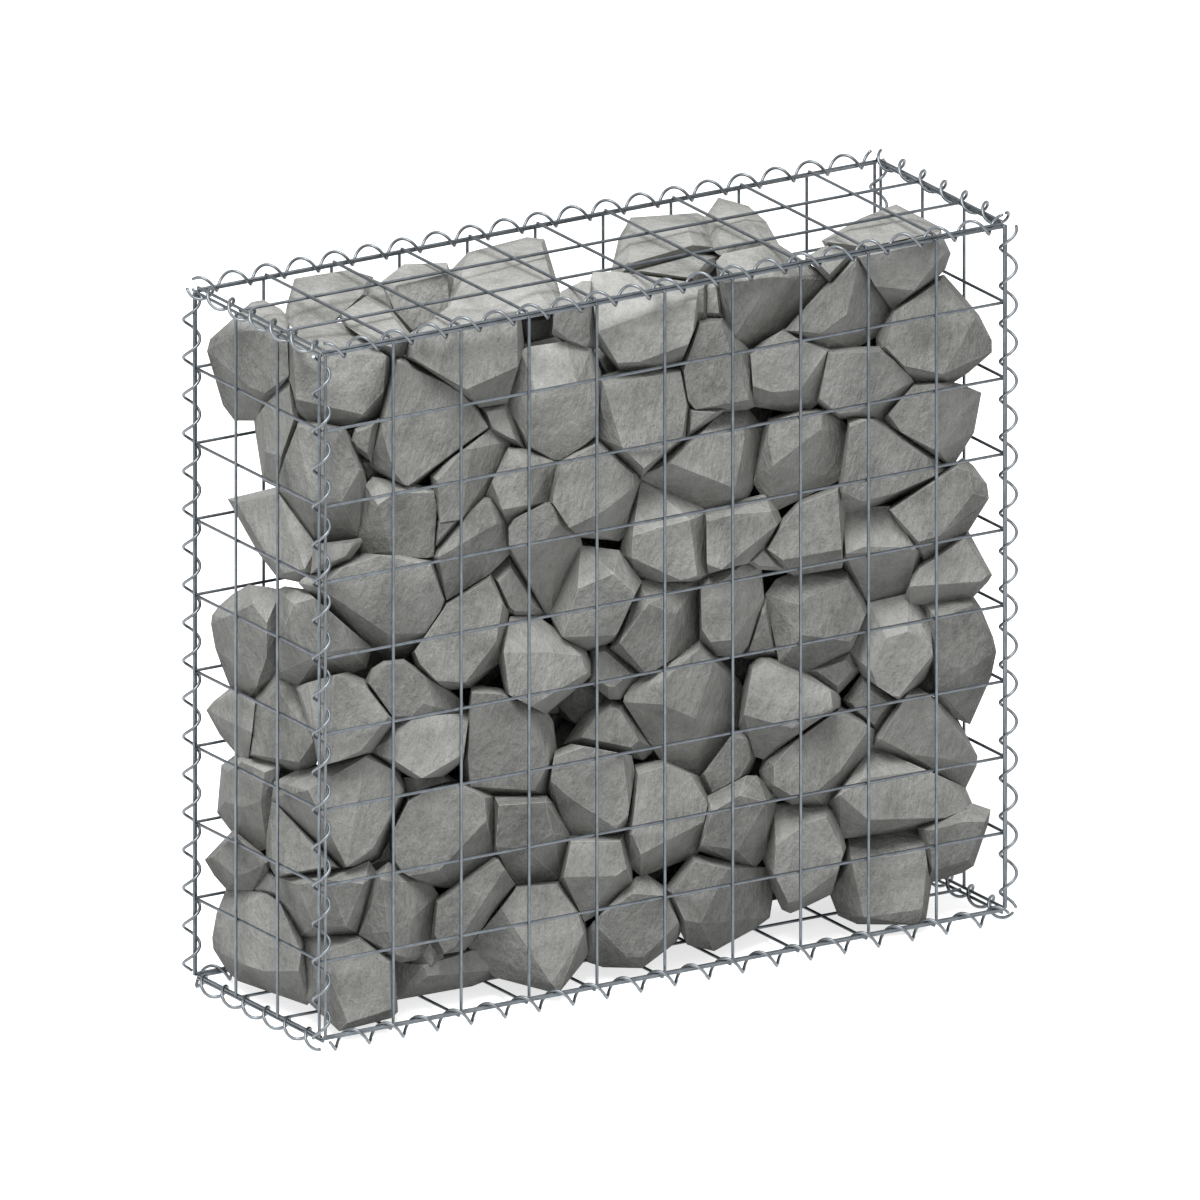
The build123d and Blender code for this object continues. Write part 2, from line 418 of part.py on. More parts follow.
# Stones along the left end
LEFT_STONES = (
    (6, ((209, 351), (212, 340), (235, 321), (251, 306), (262, 304), (278, 312), (285, 320),
        (288, 350), (289, 377), (262, 394), (254, 402), (255, 414), (235, 414), (224, 400)),
     ((237, 332), (249, 386), (263, 391), (286, 374), (284, 330))),
    (29, ((254, 402), (263, 394), (288, 378), (294, 398), (299, 418), (284, 456), (279, 482),
        (264, 475), (257, 430)),
     ((262, 405), (288, 390), (292, 420), (280, 455), (265, 450))),
    (4, ((230, 501), (278, 490), (282, 508), (313, 543), (310, 570), (300, 577), (276, 572), (258, 549)),
     ((236, 503), (276, 494), (280, 535), (302, 566), (282, 570), (262, 548))),
    (8, ((212, 624), (213, 616), (220, 607), (232, 597), (247, 588), (265, 590), (279, 593),
        (266, 622), (266, 656), (276, 668), (262, 690), (250, 693), (238, 696), (231, 684), (222, 662),
        (216, 646)),
     ((222, 618), (250, 604), (264, 622), (264, 655), (254, 684), (240, 640))),
    (4, ((207, 710), (214, 702), (230, 690), (238, 697), (256, 704), (250, 712), (249, 730),
        (247, 754), (238, 752), (220, 732)),
     ((214, 702), (232, 692), (252, 704), (249, 731))),
    (11, ((250, 710), (262, 692), (277, 674), (292, 682), (296, 694), (306, 720), (318, 752),
        (312, 760), (298, 766), (248, 756), (249, 730)),
     ((254, 714), (276, 690), (280, 720), (292, 738), (312, 740), (298, 760), (252, 752))),
    (4, ((222, 767), (236, 757), (248, 757), (276, 768), (268, 795), (264, 842), (250, 848),
        (233, 829), (218, 810)),
     ((226, 772), (240, 762), (262, 772), (258, 800), (240, 806), (224, 800))),
    (4, ((269, 800), (275, 800), (338, 866), (330, 869), (279, 875), (268, 858)),
     ((270, 804), (275, 804), (330, 864), (282, 872), (272, 856))),
    (2, ((206, 859), (211, 854), (233, 832), (250, 849), (266, 860), (264, 872), (248, 890),
        (240, 894), (231, 890), (215, 873)),
     ((212, 856), (233, 836), (262, 862), (248, 870), (233, 874))),
    (31, ((250, 875), (265, 870), (277, 880), (276, 900), (252, 902), (248, 892)),
     ()),
    (2, ((228, 890), (236, 892), (264, 891), (279, 900), (290, 928), (301, 940), (300, 962),
        (306, 992), (302, 997), (284, 988), (259, 975), (238, 975), (228, 966), (215, 946), (214, 936),
        (218, 914)),
     ((250, 902), (264, 894), (278, 904), (289, 930), (298, 950), (296, 968), (262, 968), (243, 962))),
)

# Stones on top, under the lid
TOP_STONES = (
    (20, ((338, 310), (364, 295), (391, 311), (411, 333), (406, 348), (398, 358), (388, 356),
        (376, 346), (348, 327)),
     ((341, 311), (364, 297), (389, 312), (405, 333), (392, 345), (372, 340), (350, 326))),
    (28, ((286, 318), (290, 300), (296, 279), (346, 271), (368, 278), (364, 295), (338, 310),
        (320, 327), (296, 326)),
     ((297, 284), (345, 274), (364, 280), (360, 293), (318, 303), (293, 301))),
    (45, ((370, 279), (382, 284), (390, 310), (366, 295)),
     ()),
    (12, ((447, 309), (455, 269), (470, 253), (524, 239), (540, 241), (550, 274), (557, 298),
        (555, 312), (519, 303), (489, 297)),
     ((462, 272), (473, 256), (525, 241), (539, 243), (547, 272), (530, 285), (462, 280))),
    (20, ((808, 257), (828, 245), (853, 255), (831, 281)),
     ()),
    (12, ((828, 239), (863, 219), (896, 206), (918, 222), (937, 227), (938, 232), (870, 246),
        (857, 254), (832, 246)),
     ((832, 240), (863, 221), (896, 208), (917, 223), (930, 232), (868, 245))),
    (12, ((612, 275), (621, 237), (632, 218), (693, 214), (701, 218), (712, 244), (690, 242),
        (632, 245), (622, 256)),
     ()),
    (45, ((622, 276), (623, 257), (632, 247), (690, 244), (721, 255), (706, 270), (697, 283), (652, 274)),
     ()),
    (12, ((704, 220), (718, 199), (745, 207), (761, 221), (774, 243), (766, 244), (722, 254), (713, 246)),
     ()),
)

# Stones seen through the lid that stand further back
MIDDLE_STONES = (
    (195, ((384, 281), (404, 265), (443, 264), (449, 281), (449, 293), (446, 309), (421, 320),
        (411, 332), (391, 310)),
     ((398, 284), (444, 272), (446, 305), (421, 318), (411, 328), (394, 308))),
    (120, ((520, 306), (556, 312), (552, 336), (531, 341), (520, 343)),
     ()),
)
# Depths of a stone, and the sizes of its facets, as shares of its mean radius
OUTLINE_GROWTH_SHARE = 1.06
CROWN_SHARE = 0.62
BACK_SHARE = 0.62
RELIEF_SHARE = 0.7
BELT_SHARE = 1.5
THICKNESS_SHARE = 2.0
LEAN_SHARE = 0.22
LEAN_TURN = 137.5
STONE_GAP_SHARE = 0.01
STONE_ROWS = 8
LEFT_ROOM_SHARE = 0.79

# Pixels where the photo shows daylight between the stones
DAYLIGHT_PX = ((270, 480), (268, 562), (285, 583), (300, 586), (272, 575))

# How a step along each axis shows in the photo
along_px = (FRONT_RIGHT_FOOT_PX - FRONT_LEFT_FOOT_PX) / BASKET_LENGTH
back_px = (BACK_LEFT_FOOT_PX - FRONT_LEFT_FOOT_PX) / (BASKET_DEPTH + 2 * UPRIGHT_OFFSET)
up_px = (FRONT_LEFT_TOP_PX - FRONT_LEFT_FOOT_PX) / BASKET_HEIGHT
pixel_size = BASKET_HEIGHT / (FRONT_LEFT_FOOT_PX - FRONT_LEFT_TOP_PX).length

# The way that a sight line moves while it goes one step back
sight_x = -back_px.X / along_px.X
sight_z = -(back_px.Y + sight_x * along_px.Y) / up_px.Y
sight = Vector(sight_x, 1, sight_z)

# The stones stay inside the meshes and clear of the spirals: each limit is a way out and how far it goes
MIDDLE = Vector(0, 0, MID_LEVEL)
side_gap = LEVEL_OFFSET - MESH_WIRE / 2 - STONE_CLEARANCE
lid_gap = LENGTHWISE_OFFSET - MESH_WIRE / 2 - STONE_CLEARANCE
reach_x = HALF_LENGTH + side_gap
reach_y = HALF_DEPTH + side_gap
reach_z = BASKET_HEIGHT / 2 + lid_gap
corner_cut = (SPIRAL_REACH + STONE_CLEARANCE) * 2**0.5 - 2 * SPIRAL_OFFSET
limits = []
for sign in (-1, 1):
    limits.append((Vector(sign, 0, 0), reach_x))
    limits.append((Vector(0, sign, 0), reach_y))
    limits.append((Vector(0, 0, sign), reach_z))
    for other in (-1, 1):
        limits.append((Vector(sign, other, 0), HALF_LENGTH + HALF_DEPTH - corner_cut))
        limits.append((Vector(sign, 0, other), HALF_LENGTH + BASKET_HEIGHT / 2 - corner_cut))
        limits.append((Vector(0, sign, other), HALF_DEPTH + BASKET_HEIGHT / 2 - corner_cut))


def sight_point(pixel, y):
    """Return the point at depth y that shows at a pixel of the photo."""
    foot = pixel - FRONT_LEFT_FOOT_PX - back_px * (y + HALF_DEPTH + UPRIGHT_OFFSET)
    x = foot.X / along_px.X
    z = (foot.Y - x * along_px.Y) / up_px.Y
    return Vector(x - HALF_LENGTH, y, z + BASE_LEVEL)


def sight_range(pixel):
    """Return the depths at which a pixel's sight line enters and leaves the room for the stones."""
    start = sight_point(pixel, 0) - MIDDLE
    first, last = -reach_y, reach_y
    for way, reach in limits:
        rate = way.dot(sight)
        bound = (reach - way.dot(start)) / rate
        if rate > 0:
            last = min(last, bound)
        else:
            first = max(first, bound)
    return first, max(first, last)


def photo_pixel(point):
    """Return the pixel of the photo where a point shows."""
    from_corner = point - Vector(-HALF_LENGTH, -HALF_DEPTH - UPRIGHT_OFFSET, BASE_LEVEL)
    return FRONT_LEFT_FOOT_PX + along_px * from_corner.X + back_px * from_corner.Y + up_px * from_corner.Z


def centre_of(points):
    """Return the mean of some points."""
    return sum(points, Vector(0, 0)) / len(points)


def turn(a, b, c):
    """Return twice the signed area of the triangle a, b, c."""
    return (b - a).X * (c - a).Y - (b - a).Y * (c - a).X


def rounded(points):
    """Return the convex outline around some points."""
    ordered = sorted(points, key=lambda p: (p.X, p.Y))
    outline = []
    for chain in (ordered, ordered[::-1]):
        half = []
        for point in chain:
            while len(half) > 1 and turn(half[-2], half[-1], point) <= 0:
                half.pop()
            half.append(point)
        outline += half[:-1]
    return outline


def covers(outline, pixel):
    """Tell whether a pixel lies within an outline."""
    return all(turn(a, b, pixel) > 0 for a, b in zip(outline, outline[1:] + outline[:1]))


def scaled(points, share):
    """Return points drawn towards their centre, or away from it."""
    centre = centre_of(points)
    return [centre + (point - centre) * share for point in points]


def mean_radius(points):
    """Return the mean distance of points from their centre."""
    centre = centre_of(points)
    return sum((point - centre).length for point in points) / len(points)


def cut(points, way, reach):
    """Return the part of an outline that goes no further than reach along a way."""
    kept = []
    for here, there in zip(points, points[1:] + points[:1]):
        room, next_room = reach - way.dot(here), reach - way.dot(there)
        if room >= 0:
            kept.append(here)
        if room * next_room < 0:
            kept.append(here + (there - here) * (room / (room - next_room)))
    return kept


def crossings(one, two):
    """Return the points where two outlines cross."""
    points = []
    for a, b in zip(one, one[1:] + one[:1]):
        for c, d in zip(two, two[1:] + two[:1]):
            from_a, from_b = turn(c, d, a), turn(c, d, b)
            if from_a * from_b < 0 and turn(a, b, c) * turn(a, b, d) < 0:
                points.append(a + (b - a) * (from_a / (from_a - from_b)))
    return points


# Each group of stones: whether it follows the mesh it is seen through, how deep it may go, its table
GROUPS = (
    ("front", False, 0, FRONT_STONES),
    ("front", True, 0, CORNER_STONES),
    ("left", True, 1, LEFT_STONES),
    ("top", True, 1, TOP_STONES),
    ("top", False, 1, MIDDLE_STONES),
)
outlines = []
crowns = []
stations = []
for group, follows_mesh, depth_share, table in GROUPS:
    for setback, outline, crown in table:
        outlines.append(scaled(rounded([Vector(*pixel) for pixel in outline]), OUTLINE_GROWTH_SHARE))
        crowns.append(rounded([Vector(*pixel) for pixel in crown]) if crown else [])
        stations.append((group, follows_mesh, depth_share * reach_y, setback))

# Neighbours that would overlap are parted along the line through their crossings
for i in range(len(outlines)):
    for j in range(i):
        apart = centre_of(outlines[j]) - centre_of(outlines[i])
        meeting = crossings(outlines[i], outlines[j]) if apart.length < mean_radius(outlines[i]) * 4 else []
        if len(meeting) < 2:
            continue
        far = max(meeting, key=lambda point: (point - meeting[0]).length)
        way = Vector((far - meeting[0]).Y, -(far - meeting[0]).X).normalized()
        if way.dot(apart) < 0:
            way = -way
        gap = STONE_GAP_SHARE * mean_radius(outlines[i])
        reach = way.dot(centre_of(meeting))
        for k, sign in ((i, 1), (j, -1)):
            outlines[k] = cut(outlines[k], way * sign, reach * sign - gap / 2)
            crowns[k] = cut(crowns[k], way * sign, reach * sign - gap / 2)

# Every stone is the hull of its foremost facet, a belt along its outline and a smaller facet at the back
rows = {}
for i, (group, follows_mesh, deepest, setback) in enumerate(stations):
    outline = outlines[i]
    crown = crowns[i] if len(crowns[i]) > 1 else scaled(outline, CROWN_SHARE)
    centre = centre_of(outline)
    radius = mean_radius(outline)
    lean = Vector(cos(radians(i * LEAN_TURN)), sin(radians(i * LEAN_TURN))) * LEAN_SHARE
    size = radius * pixel_size
    points = []
    rear = scaled(outline, BACK_SHARE)
    facets = ((crown, 0), (outline, RELIEF_SHARE), (outline, BELT_SHARE), (rear, THICKNESS_SHARE))
    for facet, depth_share in facets:
        for pixel in facet:
            first, last = sight_range(pixel)
            last = max(first, min(last, deepest))
            tilt = (lean.dot(pixel - centre) / radius + LEAN_SHARE) * size
            start = first if follows_mesh else -reach_y
            depth = start + setback + depth_share * size + tilt
            points.append(sight_point(pixel, min(max(depth, first), last)))
    height_share = (centre_of(points).Z - BASE_LEVEL) / BASKET_HEIGHT
    number = int(height_share * STONE_ROWS) + 1
    name = f"front_stones_row_{number}" if group == "front" else f"{group}_stones"
    rows.setdefault(name, []).append(points)

    # The back layer is the front one turned round, where the left end, the top and the daylight leave room
    turned = [Vector(-point.X, -point.Y, point.Z) for point in points]
    shadow = rounded([photo_pixel(point) for point in turned])
    leftmost = min(point.X for point in turned)
    highest = max(point.Z for point in turned)
    has_room = leftmost > -HALF_LENGTH * LEFT_ROOM_SHARE and highest < TOP_LEVEL - TOP_ROOM
    if group == "front" and has_room and not any(covers(shadow, Vector(*pixel)) for pixel in DAYLIGHT_PX):
        rows.setdefault(f"back_stones_row_{number}", []).append(turned)

for name, stones in rows.items():
    with BuildPart() as pieces:
        for points in stones:
            ConvexPolyhedron(points)
    save(pieces.part, name)
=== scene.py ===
"""Looks of the gabion: round galvanised wire over split stone, in a plain white studio.

Lengths are in metres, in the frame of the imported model.
"""

import logging
import random
from dataclasses import dataclass
from enum import Enum
from math import cos, pi, radians, sin
from typing import Any

import bmesh
import bpy
from mathutils import Matrix, Vector

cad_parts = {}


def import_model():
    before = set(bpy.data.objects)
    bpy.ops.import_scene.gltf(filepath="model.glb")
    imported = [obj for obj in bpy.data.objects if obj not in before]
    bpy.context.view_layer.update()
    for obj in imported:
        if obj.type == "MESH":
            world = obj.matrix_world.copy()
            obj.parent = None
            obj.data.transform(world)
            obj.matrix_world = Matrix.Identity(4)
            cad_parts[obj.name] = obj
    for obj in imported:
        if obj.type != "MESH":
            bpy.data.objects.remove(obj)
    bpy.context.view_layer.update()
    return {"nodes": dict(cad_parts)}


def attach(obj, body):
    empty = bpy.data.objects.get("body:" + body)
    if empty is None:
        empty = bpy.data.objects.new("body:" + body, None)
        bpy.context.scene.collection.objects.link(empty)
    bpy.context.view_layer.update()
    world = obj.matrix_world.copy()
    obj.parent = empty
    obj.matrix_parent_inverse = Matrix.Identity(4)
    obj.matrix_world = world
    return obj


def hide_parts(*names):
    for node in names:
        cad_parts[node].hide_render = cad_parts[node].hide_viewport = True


log = logging.getLogger("gabion")

MM = 0.001
BODY = "root"

# Sizes of the basket, as in the part's source
LENGTH = 1000 * MM
DEPTH = 300 * MM
HEIGHT = 900 * MM
PITCH = 100 * MM
OVERHANG = 0.6 * MM
SPIRAL_RADIUS = 10.5 * MM
SPIRAL_PITCH = 50 * MM
SPIRAL_WIRE = 3.5 * MM
SPIRAL_OFFSET_SHARE = 0.557
SPIRAL_OFFSET = SPIRAL_OFFSET_SHARE * SPIRAL_RADIUS
BASE_LEVEL = SPIRAL_OFFSET + SPIRAL_RADIUS + SPIRAL_WIRE / 2
TOP_LEVEL = BASE_LEVEL + HEIGHT
LENGTH_WIRES = round(LENGTH / PITCH) + 1
DEPTH_WIRES = round(DEPTH / PITCH) + 1
HEIGHT_WIRES = round(HEIGHT / PITCH) + 1

# A bevel with this profile is round
ROUND = 0.5


class Slot(Enum):
    """Names of the material slots."""

    MESH_WIRE = "mesh_wire"
    SPIRAL_WIRE = "spiral_wire"
    STONE = "crushed_stone"


class Way(Enum):
    """The three ways that a wire can run."""

    ALONG = (1.0, 0.0, 0.0)
    BACK = (0.0, 1.0, 0.0)
    UP = (0.0, 0.0, 1.0)

    @property
    def vector(self) -> Vector:
        """The way as a unit vector."""
        return Vector(self.value)


def linear(code: str) -> tuple[float, float, float, float]:
    """Turn an sRGB hex colour to linear light.

    Args:
        code: Six hex digits after a hash sign.

    Returns:
        Red, green, blue and an alpha of 1.
    """
    parts = [int(code[i : i + 2], 16) / 255 for i in (1, 3, 5)]
    red, green, blue = (c / 12.92 if c <= 0.04045 else ((c + 0.055) / 1.055) ** 2.4 for c in parts)
    return red, green, blue, 1.0


def add_node(
    tree: bpy.types.NodeTree,
    kind: str,
    settings: dict[str, Any] | None = None,
    values: dict[str | int, Any] | None = None,
    links: dict[str | int, bpy.types.NodeSocket] | None = None,
) -> bpy.types.Node:
    """Add one node with its settings, socket values and links.

    Args:
        tree: The node tree.
        kind: The node's type, without its ShaderNode prefix.
        settings: Properties of the node.
        values: Input sockets with fixed values.
        links: Input sockets with the outputs that feed them.

    Returns:
        The new node.
    """
    node = tree.nodes.new("ShaderNode" + kind)
    for name, value in (settings or {}).items():
        setattr(node, name, value)
    for key, value in (values or {}).items():
        node.inputs[key].default_value = value
    for key, source in (links or {}).items():
        tree.links.new(source, node.inputs[key])
    return node


def set_ramp(node: bpy.types.Node, stops: dict[float, str]) -> None:
    """Give a colour ramp its stops.

    Args:
        node: The ramp.
        stops: Hex colours by their place on the ramp, lowest first.
    """
    elements = node.color_ramp.elements
    while len(elements) < len(stops):
        elements.new(1.0)
    for element, (place, code) in zip(elements, stops.items()):
        element.position = place
        element.color = linear(code)


def seen_directly(tree: bpy.types.NodeTree) -> bpy.types.NodeSocket:
    """Tell what is seen from what only gives light.

    Args:
        tree: The node tree of a surface or of the world.

    Returns:
        An output that is 1 where the camera or a reflection looks, and 0 for the light on other things.
    """
    path = add_node(tree, "LightPath")
    either = add_node(
        tree,
        "Math",
        {"operation": "MAXIMUM"},
        links={0: path.outputs["Is Camera Ray"], 1: path.outputs["Is Glossy Ray"]},
    )
    return either.outputs[0]


@dataclass(frozen=True)
class GalvanisedSteel:
    """Drawn steel wire with a hot-dip zinc coat: blue-grey, dull, with faint darker patches."""

    name: str
    bright: str
    dull: str
    metallic: float
    roughness: float
    patch: float = 14 * MM
    grain: float = 1.5 * MM
    grain_depth: float = 0.1 * MM
    grain_strength: float = 0.25
    smoother: float = 0.06
    rougher: float = 0.08

    def material(self) -> bpy.types.Material:
        """Build the material and return it."""
        made = bpy.data.materials.new(self.name)
        made.use_nodes = True
        tree = made.node_tree
        shader = tree.nodes["Principled BSDF"]
        shader.inputs["Metallic"].default_value = self.metallic
        place = add_node(tree, "TexCoord").outputs["Object"]
        # Zinc freezes in patches of slightly different grey
        patches = add_node(
            tree,
            "TexNoise",
            values={"Scale": 1 / self.patch, "Detail": 3.0, "Roughness": 0.6},
            links={"Vector": place},
        )
        tint = add_node(tree, "ValToRGB", links={"Fac": patches.outputs["Fac"]})
        set_ramp(tint, {0.32: self.dull, 0.68: self.bright})
        tree.links.new(tint.outputs["Color"], shader.inputs["Base Color"])
        gloss = add_node(
            tree,
            "MapRange",
            values={"To Min": self.roughness - self.smoother, "To Max": self.roughness + self.rougher},
            links={"Value": patches.outputs["Fac"]},
        )
        tree.links.new(gloss.outputs["Result"], shader.inputs["Roughness"])
        # The coat's fine grain breaks the shine
        grains = add_node(
            tree, "TexNoise", values={"Scale": 1 / self.grain, "Detail": 2.0}, links={"Vector": place}
        )
        bump = add_node(
            tree,
            "Bump",
            values={"Strength": self.grain_strength, "Distance": self.grain_depth},
            links={"Height": grains.outputs["Fac"]},
        )
        tree.links.new(bump.outputs["Normal"], shader.inputs["Normal"])
        return made


@dataclass(frozen=True)
class SplitStone:
    """Crushed hard rock with split faces: matt grey, gritty and faintly streaked, with the edges painted
    paler as a painted highlight and as fresh chips.
    """

    name: str
    dark: str
    mid: str
    pale: str
    highlit_chips: str
    cloud: float = 60 * MM
    streak: float = 9 * MM
    streak_depth: float = 4.2 * MM
    streak_strength: float = 0.85
    streak_share: float = 0.35
    streak_turn: tuple[float, float, float] = (0.5, 0.9, 0.35)
    streak_squeeze: tuple[float, float, float] = (1.0, 1.0, 0.65)
    grit: float = 3.0 * MM
    grit_depth: float = 1.2 * MM
    grit_strength: float = 0.7
    grit_share: float = 0.35
    chip_highlight_strength: float = 0.55
    roughness: float = 0.93
    shine: float = 0.25

    def material(self) -> bpy.types.Material:
        """Build the material and return it."""
        made = bpy.data.materials.new(self.name)
        made.use_nodes = True
        tree = made.node_tree
        shader = tree.nodes["Principled BSDF"]
        shader.inputs["Roughness"].default_value = self.roughness
        shader.inputs["Specular IOR Level"].default_value = self.shine
        place = add_node(tree, "TexCoord").outputs["Object"]
        clouds = add_node(
            tree,
            "TexNoise",
            values={"Scale": 1 / self.cloud, "Detail": 2.0, "Roughness": 0.6},
            links={"Vector": place},
        )
        # The cleavage of the rock shows as lumps about half as long again as they are wide
        turned = add_node(
            tree,
            "Mapping",
            values={"Rotation": self.streak_turn, "Scale": self.streak_squeeze},
            links={"Vector": place},
        )
        streaks = add_node(
            tree,
            "TexNoise",
            values={"Scale": 1 / self.streak, "Detail": 3.0, "Roughness": 0.6},
            links={"Vector": turned.outputs["Vector"]},
        )
        grits = add_node(
            tree,
            "TexNoise",
            values={"Scale": 1 / self.grit, "Detail": 3.0, "Roughness": 0.7},
            links={"Vector": place},
        )
        blend = add_node(
            tree,
            "Mix",
            {"data_type": "FLOAT"},
            {0: self.streak_share},
            {2: clouds.outputs["Fac"], 3: streaks.outputs["Fac"]},
        )
        speckle = add_node(
            tree,
            "Mix",
            {"data_type": "FLOAT"},
            {0: self.grit_share},
            {2: blend.outputs[0], 3: grits.outputs["Fac"]},
        )
        # Each stone is a little paler or darker than the next
        tone = add_node(tree, "Attribute", {"attribute_name": "tone"})
        shifted = add_node(
            tree,
            "Math",
            {"operation": "ADD"},
            links={0: speckle.outputs[0], 1: tone.outputs["Fac"]},
        )
        rock = add_node(tree, "ValToRGB", links={"Fac": shifted.outputs[0]})
        set_ramp(rock, {0.34: self.dark, 0.5: self.mid, 0.68: self.pale})
        # Painted highlight: the chipped edges are painted paler, for the light that catches them as well as
        # for fresh chips
        chip_and_highlight = add_node(tree, "Attribute", {"attribute_name": "chip_and_highlight"})
        highlit_share = add_node(
            tree, "Math", {"operation": "MULTIPLY"}, {1: self.chip_highlight_strength}, {0: chip_and_highlight.outputs["Fac"]}
        )
        colour = add_node(
            tree,
            "Mix",
            {"data_type": "RGBA"},
            {7: linear(self.highlit_chips)},
            {0: highlit_share.outputs[0], 6: rock.outputs["Color"]},
        )
        tree.links.new(colour.outputs[2], shader.inputs["Base Color"])
        coarse = add_node(
            tree,
            "Bump",
            values={"Strength": self.streak_strength, "Distance": self.streak_depth},
            links={"Height": streaks.outputs["Fac"]},
        )
        fine = add_node(
            tree,
            "Bump",
            values={"Strength": self.grit_strength, "Distance": self.grit_depth},
            links={"Height": grits.outputs["Fac"], "Normal": coarse.outputs["Normal"]},
        )
        tree.links.new(fine.outputs["Normal"], shader.inputs["Normal"])
        return made


MESH_STEEL = GalvanisedSteel("Galvanised mesh wire", "#747a7f", "#5f656a", 1.0, 0.42)
SPIRAL_STEEL = GalvanisedSteel("Galvanised spiral wire", "#7f8488", "#696e72", 1.0, 0.42)
# The last colour is the painted highlight on the chipped edges, which also stands for fresh chips
CRUSHED_STONE = SplitStone("Split grey stone", "#787875", "#969693", "#adadaa", "#bcbcb8")


def finish_piece(
    shape: bmesh.types.BMesh, name: str, node: str | None, look: bpy.types.Material
) -> None:
    """Turn a bmesh into a piece of the model.

    Args:
        shape: The finished shape, which is freed.
        name: The piece's name.
        node: The node that it replaces, if any.
        look: The piece's material.
    """
    mesh = bpy.data.meshes.new(name)
    shape.to_mesh(mesh)
    shape.free()
    mesh.materials.append(look)
    piece = bpy.data.objects.new(name, mesh)
    bpy.context.scene.collection.objects.link(piece)
    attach(piece, BODY)
    if node:
        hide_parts(node)
    log.info("%s: %d faces", name, len(mesh.polygons))


@dataclass
class WireLayer:
    """Parallel wires of one panel: the middle of the first one, and the step from each to the next."""

    way: Way
    middle: Vector
    step: Vector
    count: int
    length: float


@dataclass
class MeshPanel:
    """A flat panel of welded wire."""

    node: str
    layers: tuple[WireLayer, WireLayer]
    wire: float = 4.0 * MM
    sides: int = 14
    end_round: float = 0.5 * MM
    end_steps: int = 2
    bead_share: float = 0.52

    def build(self) -> bmesh.types.BMesh:
        """Draw every wire of both layers, with rounded cut ends and a weld at each crossing."""
        shape = bmesh.new()
        for layer in self.layers:
            turn = Way.UP.vector.rotation_difference(layer.way.vector).to_matrix().to_4x4()
            for i in range(layer.count):
                middle = layer.middle + layer.step * i
                bmesh.ops.create_cone(
                    shape,
                    cap_ends=True,
                    segments=self.sides,
                    radius1=self.wire / 2,
                    radius2=self.wire / 2,
                    depth=layer.length,
                    matrix=Matrix.Translation(middle) @ turn,
                )
        # Only the cut ends have more than four corners
        rims = [edge for edge in shape.edges if any(len(face.verts) > 4 for face in edge.link_faces)]
        bmesh.ops.bevel(
            shape,
            geom=rims,
            offset=self.end_round,
            affect="EDGES",
            segments=self.end_steps,
            profile=ROUND,
            material=-1,
        )
        self.add_welds(shape)
        for face in shape.faces:
            face.smooth = True
        return shape

    def add_welds(self, shape: bmesh.types.BMesh) -> None:
        """Add a small fused bead where each pair of wires crosses.

        Args:
            shape: The panel's bmesh.
        """
        first, second = self.layers
        for i in range(first.count):
            for j in range(second.count):
                one = first.middle + first.step * i
                two = second.middle + second.step * j
                over = one + first.way.vector * (two - one).dot(first.way.vector)
                under = two + second.way.vector * (one - two).dot(second.way.vector)
                bmesh.ops.create_icosphere(
                    shape,
                    subdivisions=1,
                    radius=self.wire * self.bead_share,
                    matrix=Matrix.Translation((over + under) / 2),
                )

    def dress(self, look: bpy.types.Material) -> None:
        """Make the panel's piece."""
        finish_piece(self.build(), self.node + "_wires", self.node, look)


@dataclass
class LacingSpiral:
    """A spiral of spring wire, wound along one edge of the basket."""

    node: str
    start: Vector
    way: Way
    first_turn: Vector
    length: float
    radius: float = SPIRAL_RADIUS
    pitch: float = SPIRAL_PITCH
    extra_radius: float = 0.25 * MM
    sides: int = 12
    steps_in_turn: int = 22

    def build(self) -> bmesh.types.BMesh:
        """Spin the wire's round section along the edge and close its ends."""
        axis = self.way.vector
        forward = (axis.cross(self.first_turn) * 2 * pi * self.radius + axis * self.pitch).normalized()
        across = forward.cross(self.first_turn)
        section = Matrix((self.first_turn, across, forward)).transposed().to_4x4()
        section.translation = self.start + self.first_turn * self.radius
        shape = bmesh.new()
        # The spirals look a little thicker in the photograph than their solids, so this wire is thicker too
        radius = SPIRAL_WIRE / 2 + self.extra_radius
        bmesh.ops.create_circle(shape, cap_ends=False, radius=radius, segments=self.sides, matrix=section)
        turns = self.length / self.pitch
        steps = round(turns * self.steps_in_turn)
        bmesh.ops.spin(
            shape,
            geom=shape.verts[:] + shape.edges[:],
            cent=self.start,
            axis=axis,
            dvec=axis * (self.length / steps),
            angle=2 * pi * turns,
            steps=steps,
        )
        bmesh.ops.holes_fill(shape, edges=[edge for edge in shape.edges if edge.is_boundary], sides=0)
        bmesh.ops.recalc_face_normals(shape, faces=shape.faces[:])
        for face in shape.faces:
            face.smooth = len(face.verts) == 4
        return shape

    def dress(self, look: bpy.types.Material) -> None:
        """Make the spiral's piece."""
        finish_piece(self.build(), self.node + "_wire", self.node, look)


def stones_of(shape: bmesh.types.BMesh) -> list[list[bmesh.types.BMFace]]:
    """Sort a bmesh's faces by the stone that they belong to.

    Args:
        shape: Stones that share no edge.

    Returns:
        The faces of each stone.
    """
    left = set(shape.faces)
    stones = []
    for first in shape.faces:
        if first not in left:
            continue
        left.discard(first)
        stone = [first]
        for face in stone:
            near = {other for edge in face.edges for other in edge.link_faces} & left
            left -= near
            stone.extend(near)
        stones.append(stone)
    return stones


def box_of(verts: list[bmesh.types.BMVert]) -> tuple[Vector, Vector]:
    """Return the lowest and the highest corner of the box around some vertices."""
    lowest = Vector(min(vert.co[i] for vert in verts) for i in range(3))
    highest = Vector(max(vert.co[i] for vert in verts) for i in range(3))
    return lowest, highest


